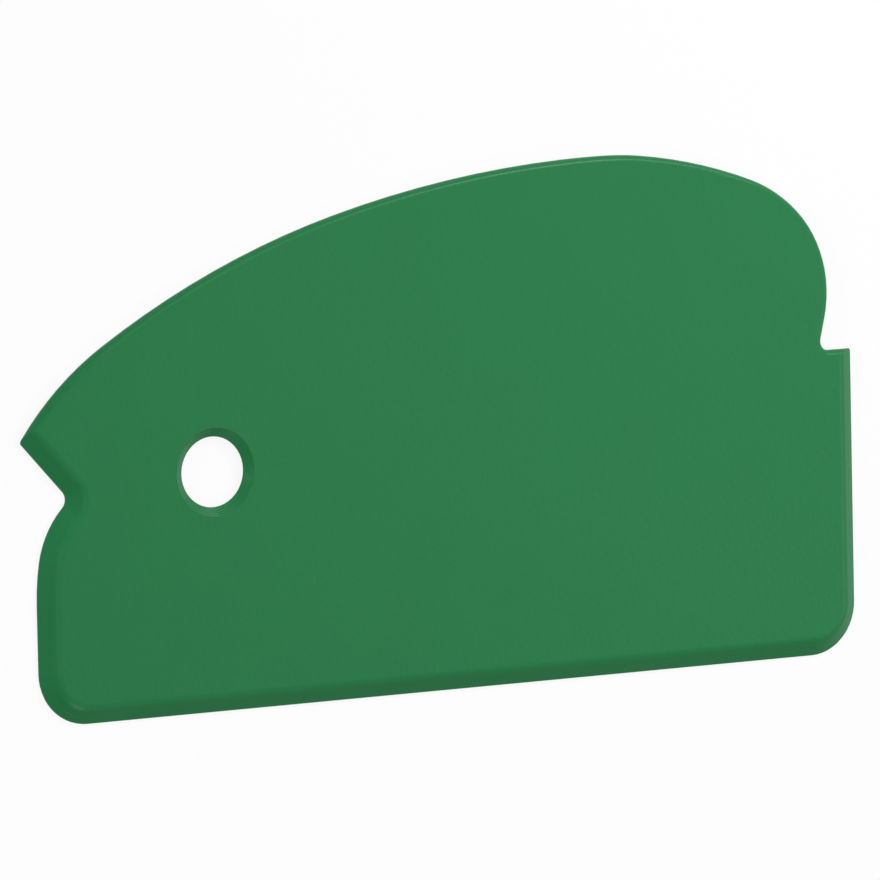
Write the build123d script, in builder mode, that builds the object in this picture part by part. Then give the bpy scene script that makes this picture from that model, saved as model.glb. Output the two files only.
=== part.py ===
from build123d import *
import os

# Pan scraper: one moulded plate, lying on its flat back with its bevelled face up (+Z).
# +X runs from the pointed nose to the straight side, +Y from the scraping edge to the hand edge.
# The origin is on the back, in the middle of the plate's length and width.

# Plate
length = 165.0
width = 89.9
thickness = 2.4
parting_land = 0.1         # the upright band at half thickness, on the hand edge and in the hole

# Heights of the outline's points above the scraping edge, as shares of the width
step_share = 0.5940        # the sharp corner at the top of the straight side
tip_share = 0.5383         # the sharp tip of the nose
shoulder_share = 0.2295    # where the left edge starts to curve in towards the notch

# Scraping side
corner_radius = 9.0
left_inset = 2.43          # the left edge stands in from the nose tip's reach
shoulder_radius = 41.7
shoulder_angle = 9.7
step_radius = 0.75

# Nose and the notch under it
tip_radius = 1.3
tip_loss_share = 0.3085    # of its radius, what the rounding takes off the sharp tip
notch_reach = 9.48         # from the sharp tip, along the length
notch_drop = 10.45         # and down
notch_radius = 1.95

# Hand edge: tangent arcs from the crown towards the nose, the last one closing at the tip
crown_inset = 50.01        # from the straight side
brow_radius = 189.8
brow_angle = 2.67
back_radius = 219.6
back_angle = 11.95
nape_radius = 166.0
nape_angle = 17.13

# Hand edge: tangent arcs from the crown towards the straight side, then the neck on the step
fore_radius = 61.0
fore_angle = 6.57
slope_radius = 95.7
slope_angle = 13.97
lobe_radius = 25.9
lobe_angle = 24.4
neck_inset = 5.86          # from the straight side to where the neck leaves the lobe
neck_height = 5.69
neck_radius = 1.7

# Section of the scraping edge
bevel_width = 2.8
bevel_land = 0.55          # what the bevel leaves of the wall at the scraping edge
ridge_radius = 2.4         # between the bevel and the face
back_round = 0.25          # on the back of the scraping edge

# Hanging hole, flared alike on both sides
hole_inset = 36.19         # from the nose tip's reach to the hole's axis
hole_height = 40.86
hole_radius = 6.0
flare_width = 1.55         # how far each flare spreads
flare_round = 0.2

overrun = 10.0             # how far the two cutting blanks reach past the plate

right = length / 2
bottom = -width / 2
crown = (right - crown_inset, width / 2)
tip = (-right - tip_loss_share * tip_radius, bottom + tip_share * width)
notch = (tip[0] + notch_reach, tip[1] - notch_drop)
left = -right + left_inset
step = bottom + step_share * width
shoulder_foot = (left, bottom + shoulder_share * width)
hole_centre = (-right + hole_inset, bottom + hole_height)
half_depth = (thickness - parting_land) / 2


def nearest(items, point):
    return items.sort_by_distance(point)[0]


# The edge held in the hand, from the sharp tip over the crown to the sharp corner of the step
with BuildLine() as hand_edge:
    brow = JernArc(start=crown, tangent=(-1, 0), radius=brow_radius, arc_size=brow_angle)
    back = JernArc(start=brow @ 1, tangent=brow % 1, radius=back_radius, arc_size=back_angle)
    nape = JernArc(start=back @ 1, tangent=back % 1, radius=nape_radius, arc_size=nape_angle)
    nose = TangentArc(nape @ 1, tip, tangent=nape % 1)
    fore = JernArc(start=crown, tangent=(1, 0), radius=fore_radius, arc_size=-fore_angle)
    slope = JernArc(start=fore @ 1, tangent=fore % 1, radius=slope_radius, arc_size=-slope_angle)
    lobe = JernArc(start=slope @ 1, tangent=slope % 1, radius=lobe_radius, arc_size=-lobe_angle)
    ear = TangentArc(lobe @ 1, (right - neck_inset, step + neck_height), tangent=lobe % 1)
    neck = PolarLine(ear @ 1, neck_height, direction=ear % 1, length_mode=LengthMode.VERTICAL)
    Line(neck @ 1, (right, step))
    fillet(nearest(hand_edge.vertices(), neck @ 1), neck_radius)

# The edge that scrapes, from the sharp corner of the step round the bottom to the sharp tip
with BuildLine() as scraping_edge:
    Polyline((right, step), (right, bottom), (left, bottom), shoulder_foot)
    shoulder = JernArc(
        start=shoulder_foot,
        tangent=(0, 1),
        radius=shoulder_radius,
        arc_size=-shoulder_angle,
    )
    TangentArc(shoulder @ 1, notch, tangent=shoulder % 1)
    underside = Line(notch, tip)
    fillet(nearest(scraping_edge.vertices(), (right, bottom)), corner_radius)
    fillet(nearest(scraping_edge.vertices(), (left, bottom)), corner_radius)
    fillet(nearest(scraping_edge.vertices(), notch), notch_radius)

# A blank with the hand edge rounded on both sides, whose other sides lie outside the plate
with BuildPart() as hand_blank:
    with BuildSketch():
        with BuildLine():
            add(hand_edge.line)
            nose_run = PolarLine(tip, overrun, direction=nose % 1)
            far_left = ((nose_run @ 1).X, bottom - overrun)
            far_right = (right + overrun, bottom - overrun)
            Polyline(nose_run @ 1, far_left, far_right, (right + overrun, step), (right, step))
        make_face()
    extrude(amount=thickness)
    fillet(nearest(hand_blank.edges().group_by(Axis.Z)[-1], (*crown, thickness)), half_depth)
    fillet(nearest(hand_blank.edges().group_by(Axis.Z)[0], (*crown, 0)), half_depth)

# A blank with the bevelled scraping edge, whose other sides lie outside the plate
with BuildPart() as bevel_blank:
    with BuildSketch():
        with BuildLine():
            add(scraping_edge.line)
            tip_run = PolarLine(
                tip,
                width / 2 + overrun - tip[1],
                direction=underside % 1,
                length_mode=LengthMode.VERTICAL,
            )
            Polyline(tip_run @ 1, (right, width / 2 + overrun), (right, step))
        make_face()
    extrude(amount=thickness)
    face = bevel_blank.faces().sort_by(Axis.Z)[-1]
    rim = nearest(face.edges(), (0, bottom, thickness))
    chamfer(rim, length=bevel_width, length2=thickness - bevel_land, reference=face)
    ridge = nearest(bevel_blank.edges().group_by(Axis.Z)[-1], (0, bottom, thickness))
    fillet(ridge, ridge_radius)
    fillet(nearest(bevel_blank.edges().group_by(Axis.Z)[0], (0, bottom, 0)), back_round)

with BuildPart() as scraper_plate:
    with BuildSketch() as outline:
        with BuildLine():
            add(hand_edge.line)
            add(scraping_edge.line)
        make_face()
        fillet(nearest(outline.vertices(), tip), tip_radius)
        fillet(nearest(outline.vertices(), (right, step)), step_radius)
    extrude(amount=thickness)
    add(hand_blank.part, mode=Mode.INTERSECT)
    add(bevel_blank.part, mode=Mode.INTERSECT)

    with Locations((*hole_centre, thickness)):
        Hole(hole_radius)
    for end in (0, -1):
        face = scraper_plate.faces().sort_by(Axis.Z)[end]
        rim = nearest(face.edges(), (*hole_centre, face.center().Z))
        chamfer(rim, length=flare_width, length2=half_depth, reference=face)
        face = scraper_plate.faces().sort_by(Axis.Z)[end]
        fillet(nearest(face.edges(), (*hole_centre, face.center().Z)), flare_round)

scraper_plate.part.label = "scraper_plate"

os.makedirs("parts", exist_ok=True)
export_step(scraper_plate.part, "parts/scraper_plate.step")
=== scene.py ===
import math

import bpy
from mathutils import Matrix, Vector

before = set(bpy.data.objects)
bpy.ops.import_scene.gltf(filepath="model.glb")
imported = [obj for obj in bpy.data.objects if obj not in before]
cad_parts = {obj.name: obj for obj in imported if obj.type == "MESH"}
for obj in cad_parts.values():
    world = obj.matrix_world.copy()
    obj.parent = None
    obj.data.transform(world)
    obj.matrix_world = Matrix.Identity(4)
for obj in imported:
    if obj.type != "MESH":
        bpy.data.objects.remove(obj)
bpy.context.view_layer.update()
mm = 0.001


# Camera: a long lens high over the nose end, turned so that the hand edge is up in the picture
cameraSetup = {
    "aim": (-0.79 * mm, -1.97 * mm, 0.0),
    "distance": 1865.3 * mm,
    "azimuth": 168.643,      # round +Z from +X to the camera
    "elevation": 58.794,
    "roll": 98.575,          # about the line of sight, from upright
    "lens": 446.6,
    "sensor": 36.0,
}


def directionTo(azimuth, elevation):
    around, above = math.radians(azimuth), math.radians(elevation)
    return Vector((
        math.cos(around) * math.cos(above),
        math.sin(around) * math.cos(above),
        math.sin(above),
    ))


def placeFacing(thing, aim, azimuth, elevation, distance, roll=0.0):
    # looks down its own -Z at the aim point, then turns about that line
    back = directionTo(azimuth, elevation)
    upright = back.to_track_quat("Z", "Y").to_matrix().to_4x4()
    turned = upright @ Matrix.Rotation(math.radians(roll), 4, "Z")
    thing.matrix_world = Matrix.Translation(Vector(aim) + back * distance) @ turned
    bpy.context.scene.collection.objects.link(thing)


def makeCamera(setup):
    cameraData = bpy.data.cameras.new("photoCamera")
    cameraData.lens = setup["lens"]
    cameraData.sensor_width = setup["sensor"]
    camera = bpy.data.objects.new("photoCamera", cameraData)
    placeFacing(
        camera,
        setup["aim"],
        setup["azimuth"],
        setup["elevation"],
        setup["distance"],
        setup["roll"],
    )
    bpy.context.scene.camera = camera


makeCamera(cameraSetup)
print("camera placed")


# Shader wiring: arithmetic on a wire adds its Math nodes, and node() makes any other node
class Wire:
    def __init__(self, tree, socket=None):
        self.tree = tree
        self.socket = socket

    def node(self, kind, settings, inputs, output=0):
        made = self.tree.nodes.new(kind)
        for name, value in settings.items():
            setattr(made, name, value)
        for name, value in inputs.items():
            if isinstance(value, Wire):
                self.tree.links.new(value.socket, made.inputs[name])
            else:
                made.inputs[name].default_value = value
        return Wire(self.tree, made.outputs[output] if made.outputs else None)

    def math(self, operation, *values):
        return self.node("ShaderNodeMath", {"operation": operation}, dict(enumerate(values)))

    def __add__(self, other):
        return self.math("ADD", self, other)

    def __sub__(self, other):
        return self.math("SUBTRACT", self, other)

    def __rsub__(self, other):
        return self.math("SUBTRACT", other, self)

    def __mul__(self, other):
        return self.math("MULTIPLY", self, other)

    __radd__ = __add__
    __rmul__ = __mul__

    def fade(self, start, end):
        # 0 where the wire is at start, 1 where it is at end, eased between
        eased = {"interpolation_type": "SMOOTHSTEP"}
        limits = {"Value": self, "From Min": start, "From Max": end}
        return self.node("ShaderNodeMapRange", eased, limits)

    def noise(self, size, detail):
        # from -1 to 1, with blotches about as wide as the size
        pattern = {"Vector": self, "Scale": 1 / size, "Detail": detail}
        return self.node("ShaderNodeTexNoise", {}, pattern) * 2 - 1


def newMaterial(name):
    material = bpy.data.materials.new(name)
    material.use_nodes = True
    material.node_tree.nodes.clear()
    return material, Wire(material.node_tree)


# Plastic plate: satin polypropylene with the mould's fine texture
plastic = {
    "darkGreen": (0.0155, 0.1640, 0.0525, 1.0),
    "lightGreen": (0.0175, 0.1730, 0.0565, 1.0),
    "cloudSize": 16 * mm,        # slow drift of the pigment and of the gloss
    "cloudDetail": 3.0,
    "roughness": 0.33,
    "roughnessDrift": 0.03,
    "specular": 0.09,
    "grainSize": 1.20 * mm,      # texture of the mould's faces
    "grainDetail": 3.0,
    "grainDepth": 0.030 * mm,
    "waveSize": 24 * mm,         # the cooled face is never quite flat
    "waveDetail": 1.0,
    "waveDepth": 0.030 * mm,
    "faceUpright": 0.99,         # Z of the surface normal, up or down, where the edges begin
    "edgeUpright": 0.86,         # and where they count in full, as on the bevel
    "edgePolish": 0.04,          # how much less rough the edges are than the face
    "edgeGrainLoss": 0.6,        # the share of the grain that the edges lack
    "partingHeight": 1.2 * mm,   # where the halves of the mould met
    "partingWidth": 0.07 * mm,   # from the middle of the line to each side
    "partingDepth": 0.012 * mm,
    "holeCentre": (-46.31 * mm, -4.09 * mm, 0.0),
    "flareReach": 7.65 * mm,     # from the hole's centre to the outer rim of its flare
    "ringPitch": 0.30 * mm,      # turning marks in the hole's flares
    "ringDepth": 0.012 * mm,
}


def makePlastic(look):
    material, wire = newMaterial("greenPlastic")
    place = wire.node("ShaderNodeTexCoord", {}, {}, "Object")
    clouds = place.noise(look["cloudSize"], look["cloudDetail"])
    grain = place.noise(look["grainSize"], look["grainDetail"])
    waves = place.noise(look["waveSize"], look["waveDetail"])

    normal = wire.node("ShaderNodeNewGeometry", {}, {}, "Normal")
    upright = normal.node("ShaderNodeSeparateXYZ", {}, {"Vector": normal}, "Z")
    edges = upright.math("ABSOLUTE", upright).fade(look["faceUpright"], look["edgeUpright"])

    height = place.node("ShaderNodeSeparateXYZ", {}, {"Vector": place}, "Z")
    offParting = height.math("ABSOLUTE", height - look["partingHeight"])
    parting = offParting.fade(look["partingWidth"], 0.0)

    # the distance from the hole's axis is taken with the height left out
    leaveHeightOut = {0: place, 1: (1.0, 1.0, 0.0)}
    flat = place.node("ShaderNodeVectorMath", {"operation": "MULTIPLY"}, leaveHeightOut)
    apart = {0: flat, 1: look["holeCentre"]}
    fromHole = flat.node("ShaderNodeVectorMath", {"operation": "DISTANCE"}, apart, "Value")
    rings = fromHole.math("SINE", fromHole * (2 * math.pi / look["ringPitch"]))
    inFlare = fromHole.fade(look["flareReach"], look["flareReach"] - look["ringPitch"])

    relief = (
        waves * look["waveDepth"]
        + grain * look["grainDepth"] * (1.0 - edges * look["edgeGrainLoss"])
        + rings * inFlare * look["ringDepth"]
        + parting * look["partingDepth"]
    )
    raised = {"Height": relief, "Strength": 1.0, "Distance": 1.0}
    bump = wire.node("ShaderNodeBump", {}, raised, "Normal")

    # a Mix node of colours has its factor at 0, its colours at 6 and 7, and its result at 2
    greens = {0: clouds * 0.5 + 0.5, 6: look["darkGreen"], 7: look["lightGreen"]}
    colour = wire.node("ShaderNodeMix", {"data_type": "RGBA"}, greens, 2)
    roughness = clouds * look["roughnessDrift"] + look["roughness"] - edges * look["edgePolish"]
    shader = wire.node("ShaderNodeBsdfPrincipled", {}, {
        "Base Color": colour,
        "Roughness": roughness,
        "Specular IOR Level": look["specular"],
        "Normal": bump,
    })
    wire.node("ShaderNodeOutputMaterial", {}, {"Surface": shader})
    return material


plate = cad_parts["scraper_plate"]
plate.material_slots[0].material = makePlastic(plastic)
print("plastic made")


# Floor and world: white to the camera and in reflections, while the plate is lit by a pale matt
# floor and a dim world
stage = {
    "floorColour": (0.80, 0.80, 0.80, 1.0),
    "floorSize": 6.0,
    "floorDrop": 0.05 * mm,  # just under the plate, so that the two faces don't meet
    "whiteShare": 0.90,      # the share of plain white in the floor that is seen, the rest is matt
    "worldStrength": 0.10,   # how strongly the world lights the plate, where 1 is white
}


def seenRays(wire):
    # 1 for the rays that show the background, 0 for those that light the plate
    camera = wire.node("ShaderNodeLightPath", {}, {}, "Is Camera Ray")
    glossy = wire.node("ShaderNodeLightPath", {}, {}, "Is Glossy Ray")
    passing = wire.node("ShaderNodeLightPath", {}, {}, "Is Transmission Ray")
    return wire.math("MAXIMUM", camera, wire.math("MAXIMUM", glossy, passing))


def makeFloor(setup):
    material, wire = newMaterial("paleFloor")
    matt = wire.node("ShaderNodeBsdfDiffuse", {}, {"Color": setup["floorColour"]})
    white = wire.node("ShaderNodeEmission", {}, {"Strength": 1.0})
    share = seenRays(wire) * setup["whiteShare"]
    mixed = wire.node("ShaderNodeMixShader", {}, {0: share, 1: matt, 2: white})
    # nothing is seen of the floor from below, so that it doesn't hide the back of the plate
    fromBelow = wire.node("ShaderNodeNewGeometry", {}, {}, "Backfacing")
    clear = wire.node("ShaderNodeBsdfTransparent", {}, {})
    shown = wire.node("ShaderNodeMixShader", {}, {0: fromBelow, 1: mixed, 2: clear})
    wire.node("ShaderNodeOutputMaterial", {}, {"Surface": shown})
    half = setup["floorSize"] / 2
    low = -setup["floorDrop"]
    corners = [(-half, -half, low), (half, -half, low), (half, half, low), (-half, half, low)]
    mesh = bpy.data.meshes.new("floor")
    mesh.from_pydata(corners, [], [(0, 1, 2, 3)])
    mesh.materials.append(material)
    floor = bpy.data.objects.new("floor", mesh)
    bpy.context.scene.collection.objects.link(floor)


def makeWorld(setup):
    world = bpy.data.worlds.new("studio")
    world.use_nodes = True
    world.node_tree.nodes.clear()
    wire = Wire(world.node_tree)
    strength = seenRays(wire) * (1 - setup["worldStrength"]) + setup["worldStrength"]
    sky = wire.node("ShaderNodeBackground", {}, {"Color": (1, 1, 1, 1), "Strength": strength})
    wire.node("ShaderNodeOutputWorld", {}, {"Surface": sky})
    bpy.context.scene.world = world


makeFloor(stage)
makeWorld(stage)
print("stage made")


# Soft boxes, each aimed at the middle of the plate
softBoxes = {
    "keyBox": {"azimuth": 50, "elevation": 40, "distance": 0.6, "size": 0.12, "power": 1.7},
    "highBox": {"azimuth": 76, "elevation": 53, "distance": 1.3, "size": 0.26, "power": 2.3},
    "foreBox": {"azimuth": 35, "elevation": 27, "distance": 0.8, "size": 0.16, "power": 0.9},
    "sideBox": {"azimuth": -8, "elevation": 37, "distance": 1.3, "size": 0.26, "power": 1.5},
    "sheenBox": {"azimuth": -9, "elevation": 57, "distance": 1.3, "size": 0.60, "power": 1.5},
    "overheadBox": {"azimuth": 195, "elevation": 79, "distance": 1.3, "size": 0.30, "power": 1.3},
    "noseBox": {"azimuth": 168, "elevation": 20, "distance": 2.0, "size": 0.54, "power": 17.5},
    "bottomBox": {"azimuth": 280, "elevation": 42, "distance": 1.3, "size": 0.35, "power": 3.3},
}


def makeSoftBox(name, setup):
    light = bpy.data.lights.new(name, "AREA")
    light.shape = "SQUARE"
    light.size = setup["size"]
    light.energy = setup["power"]
    lamp = bpy.data.objects.new(name, light)
    lamp.visible_camera = False
    placeFacing(lamp, (0, 0, 0), setup["azimuth"], setup["elevation"], setup["distance"])


for name, setup in softBoxes.items():
    makeSoftBox(name, setup)
bpy.context.scene.view_settings.view_transform = "Standard"
print("lights made")
